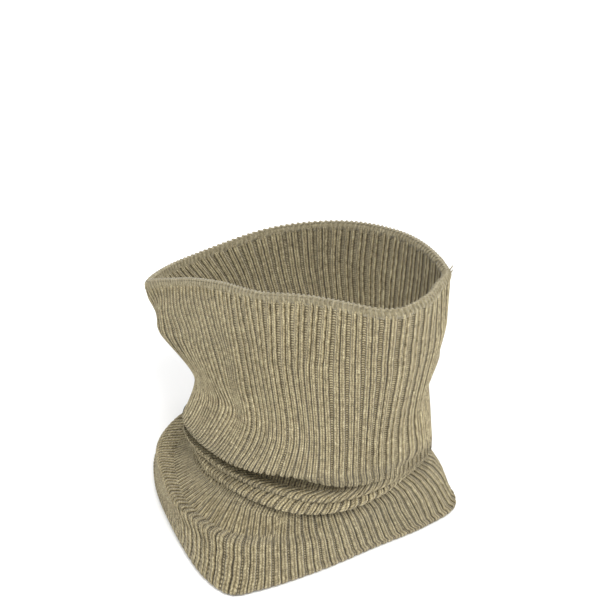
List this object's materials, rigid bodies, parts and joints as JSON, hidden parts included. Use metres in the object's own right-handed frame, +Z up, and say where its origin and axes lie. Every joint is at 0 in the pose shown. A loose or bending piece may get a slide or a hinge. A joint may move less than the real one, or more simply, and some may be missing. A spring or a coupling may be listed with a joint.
{
  "type": "neck gaiter",
  "caption": "Doubled rib-knit neck gaiter in heather olive tan, standing open as worn: face tube, bunched neck tiers and a flared skirt, with a linked top edge.",
  "frame": {"origin": "centre of the overall footprint, on the plane that the bottom fold stands on", "axes": "+Z up through the neck opening, -Y the way the wearer's face points, +X the wearer's left"},
  "size_m": [0.1739, 0.177, 0.1606],
  "materials": {
    "rib_knit": "soft wool rib",
    "rib_knit_lining": "soft wool rib",
    "linking_yarn": "matt yarn"
  },
  "bodies": {
    "skirt": {"outer_skirt": "rib_knit", "inner_skirt_lining": "rib_knit_lining", "bottom_fold": "rib_knit", "upper_fold_turnback": "rib_knit", "neck_roll": "rib_knit", "inner_neck_lining": "rib_knit_lining"},
    "face_tube": {"outer_face_tube": "rib_knit", "inner_face_lining": "rib_knit_lining", "top_linking_band": "linking_yarn", "linking_thread": "linking_yarn", "loose_thread_end_1": "linking_yarn", "loose_thread_end_2": "linking_yarn"}
  },
  "joints": [
    {"name": "pull_up", "type": "slide", "parent": "skirt", "child": "face_tube", "axis": [0, 0, 1], "range_m": [0, 0.03], "deforming": ["upper_fold_turnback", "neck_roll", "inner_neck_lining"]}
  ]
}
